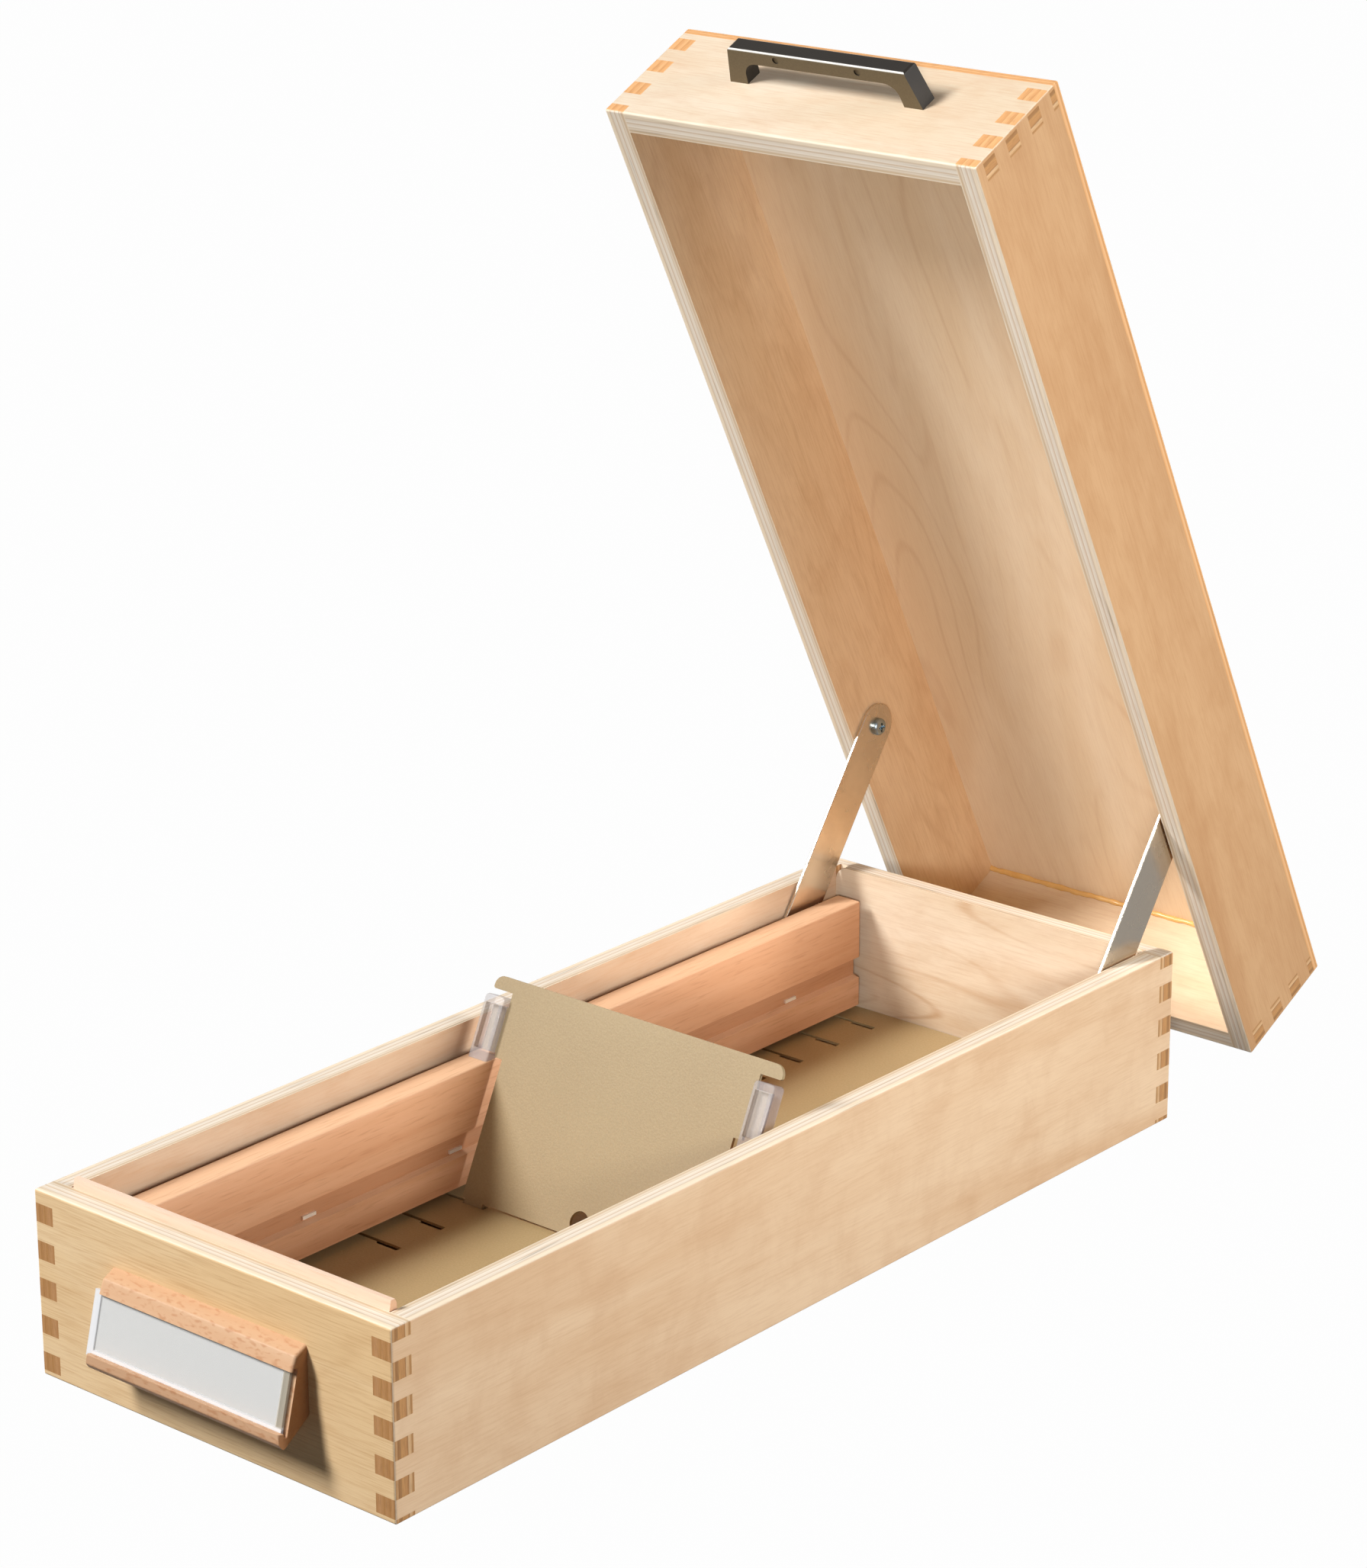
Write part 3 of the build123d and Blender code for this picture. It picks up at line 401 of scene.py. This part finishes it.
def paintCoating(name, settings):
    material, tree, surface = startMaterial(name)
    coords = addNode(tree, "ShaderNodeTexCoord", {}, {})
    grain = addNode(tree, "ShaderNodeTexNoise", {},
                    {"Vector": coords.outputs["Object"], "Scale": 1 / settings["grain"], "Detail": 1.0})
    cloud = addNode(tree, "ShaderNodeTexNoise", {},
                    {"Vector": coords.outputs["Object"], "Scale": 1 / settings["cloud"], "Detail": 2.0})
    share = addNode(tree, "ShaderNodeMath", {"operation": "MULTIPLY_ADD"},
                    {0: grain.outputs["Fac"], 1: settings["grainWeight"], 2: cloud.outputs["Fac"]})
    share = addNode(tree, "ShaderNodeMapRange", {},
                    {"Value": share.outputs[0], "From Min": 0.6, "From Max": 1.3})
    colour = addNode(tree, "ShaderNodeMix", {"data_type": "RGBA"},
                     {0: share.outputs[0], 6: hexToLinear(settings["beige"]), 7: hexToLinear(settings["deep"])})
    tree.links.new(colour.outputs[2], surface.inputs["Base Color"])
    rough = addNode(tree, "ShaderNodeMath", {"operation": "MULTIPLY_ADD"},
                    {0: grain.outputs["Fac"], 1: settings["roughSpread"],
                     2: settings["roughness"] - settings["roughSpread"] / 2})
    tree.links.new(rough.outputs[0], surface.inputs["Roughness"])
    bump = addNode(tree, "ShaderNodeBump", {},
                   {"Height": grain.outputs["Fac"], "Strength": 0.12, "Distance": 0.0003})
    tree.links.new(bump.outputs[0], surface.inputs["Normal"])
    return material


dress(["slotted_floor"], paintCoating("satinCoatedSteelFloor", coating))
dress(["support_plate"], paintCoating("satinCoatedSteelPlate", plateCoating))

# Rolled steel strap, nickel plated: bright, drawn along its length, soft dull patches from handling; its warm tint
# is partly the nickel's own and partly a painted reflection of the wood around it
plating = {
    # warm tint, partly a painted reflection of the wood around the strap
    "bright": "#E6DACA",
    "dull": "#CDC0AE",
    "scratch": 0.0006,  # real drawing lines are finer and would not show
    "scratchesPerMetre": 30.0,  # along the strap
    "patch": 0.012,
    "roughness": 0.26,
    "roughSpread": 0.2,
}


def paintPlating(name, settings, angle):
    material, tree, surface = startMaterial(name)
    coords = addNode(tree, "ShaderNodeTexCoord", {}, {})
    drawn = addNode(tree, "ShaderNodeMapping", {},
                    {"Vector": coords.outputs["Object"], "Rotation": (-angle, 0, 0)})
    perMetre = 1 / settings["scratch"]
    lines = addNode(tree, "ShaderNodeMapping", {},
                    {"Vector": drawn.outputs[0], "Scale": (perMetre, settings["scratchesPerMetre"], perMetre)})
    scratch = addNode(tree, "ShaderNodeTexNoise", {},
                      {"Vector": lines.outputs[0], "Scale": 1.0, "Detail": 2.0})
    patch = addNode(tree, "ShaderNodeTexNoise", {},
                    {"Vector": drawn.outputs[0], "Scale": 1 / settings["patch"], "Detail": 3.0, "Roughness": 0.6})
    colour = addNode(tree, "ShaderNodeMix", {"data_type": "RGBA"},
                     {0: patch.outputs["Fac"], 6: hexToLinear(settings["bright"]),
                      7: hexToLinear(settings["dull"])})
    tree.links.new(colour.outputs[2], surface.inputs["Base Color"])
    rough = addNode(tree, "ShaderNodeMath", {"operation": "MULTIPLY_ADD"},
                    {0: patch.outputs["Fac"], 1: settings["roughSpread"],
                     2: settings["roughness"] - settings["roughSpread"] / 2})
    tree.links.new(rough.outputs[0], surface.inputs["Roughness"])
    bump = addNode(tree, "ShaderNodeBump", {},
                   {"Height": scratch.outputs["Fac"], "Strength": 0.08, "Distance": 0.0002})
    tree.links.new(bump.outputs[0], surface.inputs["Normal"])
    surface.inputs["Metallic"].default_value = 1.0
    return material


dress(["left_stay", "right_stay"], paintPlating("nickelStrap", plating, stayAngle))
# Zinc plated screws and washers: bluer and darker than the nickel
zincPlating = dict(plating, bright="#AEBCC2", dull="#8C9AA2", roughness=0.30)
dress(["stay_base_screws", "stay_base_washers", "stay_lid_screws", "stay_lid_washers",
       "pull_screws", "handle_screws"], paintPlating("zincFasteners", zincPlating, 0.0))
# Galvanised staple wire: whiter and less polished than the nickel
stapleWire = dict(plating, bright="#FAFAF8", dull="#F0F0EE", roughness=0.55)
dress(["rail_staples"], paintPlating("galvanisedWire", stapleWire, 0.0))
print("metal painted")

# Moulded black plastic: polished black on the grip with clear highlights, partly a painted highlight along its
# outer long edges, a satin olive texture on both sides
blackPlastic = {
    "black": "#1D1915",
    "worn": "#2C2721",
    "satin": "#6C5D43",
    "satinDeep": "#5A4D38",
    # colour of the painted highlight on the grip's outer long edges
    "highlightColour": "#DCD8D0",
    "cloud": 0.014,
    "sparkle": 0.0006,  # real spark texture is about half as coarse
    "gloss": 0.32,
    "satinRoughness": 0.52,
    "specular": 0.35,
}
material, tree, surface = startMaterial("mouldedBlackPlastic")
coords = addNode(tree, "ShaderNodeTexCoord", {}, {})
facing = addNode(tree, "ShaderNodeMapping", {"vector_type": "NORMAL"},
                 {"Vector": coords.outputs["Normal"], "Rotation": (lidAngle, 0, 0)})
turned = addNode(tree, "ShaderNodeSeparateXYZ", {}, {0: facing.outputs[0]})
isSide = addNode(tree, "ShaderNodeMath", {"operation": "ABSOLUTE"}, {0: turned.outputs["Z"]})
isSide = addNode(tree, "ShaderNodeMapRange", {"interpolation_type": "SMOOTHSTEP"},
                 {"Value": isSide.outputs[0], "From Min": 0.80, "From Max": 0.98})
cloud = addNode(tree, "ShaderNodeTexNoise", {},
                {"Vector": coords.outputs["Object"], "Scale": 1 / blackPlastic["cloud"], "Detail": 4.0})
sparkle = addNode(tree, "ShaderNodeTexNoise", {},
                  {"Vector": coords.outputs["Object"], "Scale": 1 / blackPlastic["sparkle"], "Detail": 1.0})
glossy = addNode(tree, "ShaderNodeMix", {"data_type": "RGBA"},
                 {0: cloud.outputs["Fac"], 6: hexToLinear(blackPlastic["black"]),
                  7: hexToLinear(blackPlastic["worn"])})
satin = addNode(tree, "ShaderNodeMix", {"data_type": "RGBA"},
                {0: sparkle.outputs["Fac"], 6: hexToLinear(blackPlastic["satinDeep"]),
                 7: hexToLinear(blackPlastic["satin"])})
colour = addNode(tree, "ShaderNodeMix", {"data_type": "RGBA"},
                 {0: isSide.outputs[0], 6: glossy.outputs[2], 7: satin.outputs[2]})
# painted highlight: the outer long edges of the grip are painted near white, where the lamp glints on them
edgeHighlight = addNode(tree, "ShaderNodeMath", {"operation": "ABSOLUTE"}, {0: turned.outputs["Z"]})
edgeHighlight = addNode(tree, "ShaderNodeMapRange", {"interpolation_type": "SMOOTHSTEP"},
              {"Value": edgeHighlight.outputs[0], "From Min": 0.35, "From Max": 0.60})
outward = addNode(tree, "ShaderNodeMapRange", {"interpolation_type": "SMOOTHSTEP"},
                  {"Value": turned.outputs["Y"], "From Min": -0.35, "From Max": -0.60})
edgeHighlight = addNode(tree, "ShaderNodeMath", {"operation": "MULTIPLY"}, {0: edgeHighlight.outputs[0], 1: outward.outputs[0]})
colour = addNode(tree, "ShaderNodeMix", {"data_type": "RGBA"},
                 {0: edgeHighlight.outputs[0], 6: colour.outputs[2], 7: hexToLinear(blackPlastic["highlightColour"])})
tree.links.new(colour.outputs[2], surface.inputs["Base Color"])
surface.inputs["Specular IOR Level"].default_value = blackPlastic["specular"]
rough = addNode(tree, "ShaderNodeMapRange", {},
                {"Value": isSide.outputs[0], "To Min": blackPlastic["gloss"],
                 "To Max": blackPlastic["satinRoughness"]})
tree.links.new(rough.outputs[0], surface.inputs["Roughness"])
bump = addNode(tree, "ShaderNodeBump", {},
               {"Height": sparkle.outputs["Fac"], "Strength": 0.06, "Distance": 0.0003})
tree.links.new(bump.outputs[0], surface.inputs["Normal"])
dress(["carry_handle"], material)

# Clear moulded acrylic: the plate shows through it, violet grey where its walls overlap, sharp white highlights,
# and its broad faces painted milky white as a painted highlight
clearPlastic = {
    # the broad faces' near-white colours and opacity are a painted highlight
    "clear": "#DDD7D6",
    "pale": "#F6F4F4",
    "edge": "#8F8489",
    "ripple": 0.006,
    "broadAlpha": 0.24,
    "edgeAlpha": 0.44,
    "roughness": 0.06,
    "roughSpread": 0.05,
    "ior": 1.49,
}
material, tree, surface = startMaterial("clearAcrylic")
coords = addNode(tree, "ShaderNodeTexCoord", {}, {})
ripple = addNode(tree, "ShaderNodeTexNoise", {},
                 {"Vector": coords.outputs["Object"], "Scale": 1 / clearPlastic["ripple"], "Detail": 1.0})
colour = addNode(tree, "ShaderNodeMix", {"data_type": "RGBA"},
                 {0: ripple.outputs["Fac"], 6: hexToLinear(clearPlastic["clear"]),
                  7: hexToLinear(clearPlastic["pale"])})
facing = addNode(tree, "ShaderNodeMapping", {"vector_type": "NORMAL"},
                 {"Vector": coords.outputs["Normal"], "Rotation": (plateAngle, 0, 0)})
turned = addNode(tree, "ShaderNodeSeparateXYZ", {}, {0: facing.outputs[0]})
isBroad = addNode(tree, "ShaderNodeMath", {"operation": "ABSOLUTE"}, {0: turned.outputs["Y"]})
isBroad = addNode(tree, "ShaderNodeMapRange", {"interpolation_type": "SMOOTHSTEP"},
                  {"Value": isBroad.outputs[0], "From Min": 0.30, "From Max": 0.85})
colour = addNode(tree, "ShaderNodeMix", {"data_type": "RGBA"},
                 {0: isBroad.outputs[0], 6: hexToLinear(clearPlastic["edge"]), 7: colour.outputs[2]})
tree.links.new(colour.outputs[2], surface.inputs["Base Color"])
alpha = addNode(tree, "ShaderNodeMapRange", {},
                {"Value": isBroad.outputs[0], "To Min": clearPlastic["edgeAlpha"],
                 "To Max": clearPlastic["broadAlpha"]})
tree.links.new(alpha.outputs[0], surface.inputs["Alpha"])
rough = addNode(tree, "ShaderNodeMath", {"operation": "MULTIPLY_ADD"},
                {0: ripple.outputs["Fac"], 1: clearPlastic["roughSpread"], 2: clearPlastic["roughness"]})
tree.links.new(rough.outputs[0], surface.inputs["Roughness"])
bump = addNode(tree, "ShaderNodeBump", {},
               {"Height": ripple.outputs["Fac"], "Strength": 0.08, "Distance": 0.0005})
tree.links.new(bump.outputs[0], surface.inputs["Normal"])
surface.inputs["IOR"].default_value = clearPlastic["ior"]
dress(["left_plate_clip", "right_plate_clip"], material)

# Clear PVC film, folded: nearly unseen over the card, white along the folds as a painted highlight, and white past
# the card's left end
clearFilm = {
    "film": "#F4F5F7",
    "hollow": "#CFC6B4",
    "cardLeft": -0.0408,
    "cardRight": 0.0372,
    "lowFold": 0.0232,
    "highFold": 0.0399,
    "soft": 0.0003,
    "overCard": 0.05,
    "whiteAlpha": 0.80,
    "open": 0.45,
    "roughness": 0.12,
    "ior": 1.53,
}
material, tree, surface = startMaterial("clearPvcFilm")
coords = addNode(tree, "ShaderNodeTexCoord", {}, {})
split = addNode(tree, "ShaderNodeSeparateXYZ", {}, {0: coords.outputs["Object"]})
past = {}
for border, axis, side in (("cardLeft", "X", -1), ("cardRight", "X", 1),
                           ("lowFold", "Z", -1), ("highFold", "Z", 1)):
    soft = side * clearFilm["soft"]
    past[border] = addNode(tree, "ShaderNodeMapRange", {},
                           {"Value": split.outputs[axis], "From Min": clearFilm[border] - soft,
                            "From Max": clearFilm[border] + soft}).outputs[0]
# painted highlight along the folds; the same white past the card's left end
folds = addNode(tree, "ShaderNodeMath", {"operation": "MAXIMUM"}, {0: past["lowFold"], 1: past["highFold"]})
folds = addNode(tree, "ShaderNodeMath", {"operation": "MAXIMUM"}, {0: folds.outputs[0], 1: past["cardLeft"]})
alpha = addNode(tree, "ShaderNodeMapRange", {},
                {"Value": past["cardRight"], "To Min": clearFilm["overCard"], "To Max": clearFilm["open"]})
alpha = addNode(tree, "ShaderNodeMix", {"data_type": "FLOAT"},  # a number Mix has its numbers at inputs 2 and 3
                {0: folds.outputs[0], 2: alpha.outputs[0], 3: clearFilm["whiteAlpha"]})
tree.links.new(alpha.outputs[0], surface.inputs["Alpha"])
colour = addNode(tree, "ShaderNodeMix", {"data_type": "RGBA"},
                 {0: past["cardRight"], 6: hexToLinear(clearFilm["film"]), 7: hexToLinear(clearFilm["hollow"])})
colour = addNode(tree, "ShaderNodeMix", {"data_type": "RGBA"},
                 {0: folds.outputs[0], 6: colour.outputs[2], 7: hexToLinear(clearFilm["film"])})
tree.links.new(colour.outputs[2], surface.inputs["Base Color"])
surface.inputs["Roughness"].default_value = clearFilm["roughness"]
surface.inputs["IOR"].default_value = clearFilm["ior"]
dress(["label_sleeve"], material)

# Uncoated card: flat light grey with a faint felt of fibres
labelPaper = {"grey": "#D3D3D1", "felt": "#CECECB", "fibre": 0.0005, "roughness": 0.8}
material, tree, surface = startMaterial("uncoatedCard")
coords = addNode(tree, "ShaderNodeTexCoord", {}, {})
felt = addNode(tree, "ShaderNodeTexNoise", {},
               {"Vector": coords.outputs["Object"], "Scale": 1 / labelPaper["fibre"], "Detail": 3.0})
colour = addNode(tree, "ShaderNodeMix", {"data_type": "RGBA"},
                 {0: felt.outputs["Fac"], 6: hexToLinear(labelPaper["grey"]), 7: hexToLinear(labelPaper["felt"])})
tree.links.new(colour.outputs[2], surface.inputs["Base Color"])
bump = addNode(tree, "ShaderNodeBump", {},
               {"Height": felt.outputs["Fac"], "Strength": 0.004, "Distance": 0.0002})
tree.links.new(bump.outputs[0], surface.inputs["Normal"])
surface.inputs["Roughness"].default_value = labelPaper["roughness"]
dress(["label_card"], material)
print("plastic and card painted")

# Bead of dried wood glue in the seam between the lid's top panel and its rear wall
glueBead = {
    "radius": 0.0010,
    "length": 0.1356,
    "sides": 12,
    "cuts": 80,
    "inset": 0.0005,
    "seam": (0.1875, 0.0443),  # the seam's place along the lid and above its rim
    "lump": 0.0045,
    "swell": 0.0014,
    "smoothAngle": 60,
}
lidTurn = Matrix.Rotation(-lidAngle, 3, "X")
lidOrigin = lidTurn @ -Vector(lidShift)
bpy.ops.object.select_all(action="DESELECT")
bpy.ops.mesh.primitive_cylinder_add(vertices=glueBead["sides"], radius=glueBead["radius"],
                                    depth=glueBead["length"], location=(0, 0, 0),
                                    rotation=(0, math.radians(90), 0))
bead = bpy.context.active_object
bead.name = "glueBead"
bpy.ops.object.transform_apply(location=True, rotation=True, scale=True)
bpy.ops.object.mode_set(mode="EDIT")
bpy.ops.mesh.select_mode(type="EDGE")
bpy.ops.mesh.select_all(action="DESELECT")
bpy.ops.object.mode_set(mode="OBJECT")
for edge in bead.data.edges:  # the long edges are cut up, so that the lumps have points to move
    start, end = (bead.data.vertices[i].co for i in edge.vertices)
    edge.select = abs(end.x - start.x) > glueBead["length"] / 2
bpy.ops.object.mode_set(mode="EDIT")
bpy.ops.mesh.subdivide(number_cuts=glueBead["cuts"])
bpy.ops.object.mode_set(mode="OBJECT")
lumps = bpy.data.textures.new("glueLumps", "CLOUDS")
lumps.noise_scale = glueBead["lump"]
swell = bead.modifiers.new("swell", "DISPLACE")
swell.texture = lumps
swell.strength = glueBead["swell"]
bpy.ops.object.modifier_apply(modifier=swell.name)
seamAlong, seamHeight = glueBead["seam"]
bead.location = lidOrigin + lidTurn @ Vector(
    (0, seamAlong - glueBead["inset"], seamHeight - glueBead["inset"]))
bead.rotation_euler = (-lidAngle, 0, 0)
bpy.ops.object.transform_apply(location=True, rotation=True, scale=True)
bpy.ops.object.shade_smooth_by_angle(angle=math.radians(glueBead["smoothAngle"]))

# Dried wood glue: amber with deeper clouds, glossy on its lumps
driedGlue = {"amber": "#F5CB82", "deep": "#E3A95C", "cloud": 0.006, "roughness": 0.22}
material, tree, surface = startMaterial("driedWoodGlue")
coords = addNode(tree, "ShaderNodeTexCoord", {}, {})
cloud = addNode(tree, "ShaderNodeTexNoise", {},
                {"Vector": coords.outputs["Object"], "Scale": 1 / driedGlue["cloud"], "Detail": 2.0})
colour = addNode(tree, "ShaderNodeMix", {"data_type": "RGBA"},
                 {0: cloud.outputs["Fac"], 6: hexToLinear(driedGlue["deep"]), 7: hexToLinear(driedGlue["amber"])})
tree.links.new(colour.outputs[2], surface.inputs["Base Color"])
surface.inputs["Roughness"].default_value = driedGlue["roughness"]
bead.data.materials.append(material)
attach(bead, "lid")
print("glue bead laid")

# Studio: a pale floor that stays white to the eye with only a trace of shadow, and three lamps
studio = {
    "floorSize": 40.0,
    "floor": "#454443",
    "floorGlow": 0.985,
    "floorRoughness": 0.9,
    "ambient": 0.055,
    "mirrored": 0.35,  # how bright the room is in a reflection
    "keyPlace": (-1.53, -2.13, 2.42), "keySize": (0.7, 1.4), "keyPower": 165.0,
    "sidePlace": (3.70, 1.16, 1.16), "sideSize": (0.9, 1.5), "sidePower": 135.0,
    "aim": (0.0, 0.03, 0.12),
    "lidPlace": (0.95, -1.18, 0.54), "lidAim": (0.0, 0.18, 0.20), "lidPower": 64.0,
    "lidCone": 17.5, "lidBlend": 0.5, "lidSoftness": 0.12,
}
white = (1, 1, 1, 1)


def seenShare(tree):  # 1 for the camera and through clear pieces, less in a reflection, 0 for other light
    rays = addNode(tree, "ShaderNodeLightPath", {}, {})
    seen = addNode(tree, "ShaderNodeMath", {"operation": "MULTIPLY_ADD"},
                   {0: rays.outputs["Is Glossy Ray"], 1: studio["mirrored"], 2: rays.outputs["Is Camera Ray"]})
    return addNode(tree, "ShaderNodeMath", {"operation": "ADD", "use_clamp": True},
                   {0: seen.outputs[0], 1: rays.outputs["Is Transmission Ray"]}).outputs[0]


def hangLamp(name, kind, place, aim):
    lamp = bpy.data.lights.new(name, kind)
    holder = bpy.data.objects.new(name, lamp)
    bpy.context.scene.collection.objects.link(holder)
    holder.location = place
    away = Vector(aim) - holder.location
    holder.rotation_euler = away.to_track_quat("-Z", "Y").to_euler()
    return lamp


bpy.ops.object.select_all(action="DESELECT")
bpy.ops.mesh.primitive_plane_add(size=studio["floorSize"], location=(0, 0, 0))
floor = bpy.context.active_object
floor.name = "studioFloor"
material, tree, surface = startMaterial("paleFloor")
surface.inputs["Base Color"].default_value = hexToLinear(studio["floor"])
surface.inputs["Roughness"].default_value = studio["floorRoughness"]
glow = addNode(tree, "ShaderNodeMath", {"operation": "MULTIPLY"}, {0: seenShare(tree), 1: studio["floorGlow"]})
shine = addNode(tree, "ShaderNodeEmission", {}, {"Color": white, "Strength": 1.0})
mixed = addNode(tree, "ShaderNodeMixShader", {}, {0: glow.outputs[0], 1: surface.outputs[0], 2: shine.outputs[0]})
tree.links.new(mixed.outputs[0], tree.nodes["Material Output"].inputs["Surface"])
floor.data.materials.append(material)

world = bpy.data.worlds.new("studioWorld")
bpy.context.scene.world = world
world.use_nodes = True
tree = world.node_tree
strength = addNode(tree, "ShaderNodeMapRange", {},
                   {"Value": seenShare(tree), "To Min": studio["ambient"], "To Max": 1.0})
tree.links.new(strength.outputs[0], tree.nodes["Background"].inputs["Strength"])
tree.nodes["Background"].inputs["Color"].default_value = white

for name in ("key", "side"):
    lamp = hangLamp(name + "Lamp", "AREA", studio[name + "Place"], studio["aim"])
    lamp.shape = "RECTANGLE"
    lamp.size, lamp.size_y = studio[name + "Size"]
    lamp.energy = studio[name + "Power"]
# a narrow lamp for the lid's hollow
lamp = hangLamp("lidLamp", "SPOT", studio["lidPlace"], studio["lidAim"])
lamp.spot_size = math.radians(studio["lidCone"])
lamp.spot_blend = studio["lidBlend"]
lamp.shadow_soft_size = studio["lidSoftness"]
lamp.energy = studio["lidPower"]

# Camera at the photograph's angle, for a frame of 1792 by 2056
view = {
    "place": (0.8984, -1.02657, 0.63009),
    "yaw": -40.583,
    "pitch": -19.041,
    "roll": 0.153,
    "lens": 103.46,
    "sensor": 36.0,
}
cameraData = bpy.data.cameras.new("photoCamera")
cameraData.lens = view["lens"]
cameraData.sensor_width = view["sensor"]
camera = bpy.data.objects.new("photoCamera", cameraData)
bpy.context.scene.collection.objects.link(camera)
camera.matrix_world = (Matrix.Translation(view["place"]) @ Matrix.Rotation(-math.radians(view["yaw"]), 4, "Z")
                       @ Matrix.Rotation(math.radians(90 + view["pitch"]), 4, "X")
                       @ Matrix.Rotation(-math.radians(view["roll"]), 4, "Z"))
bpy.context.scene.camera = camera
bpy.context.scene.view_settings.view_transform = "Standard"
print("studio ready")
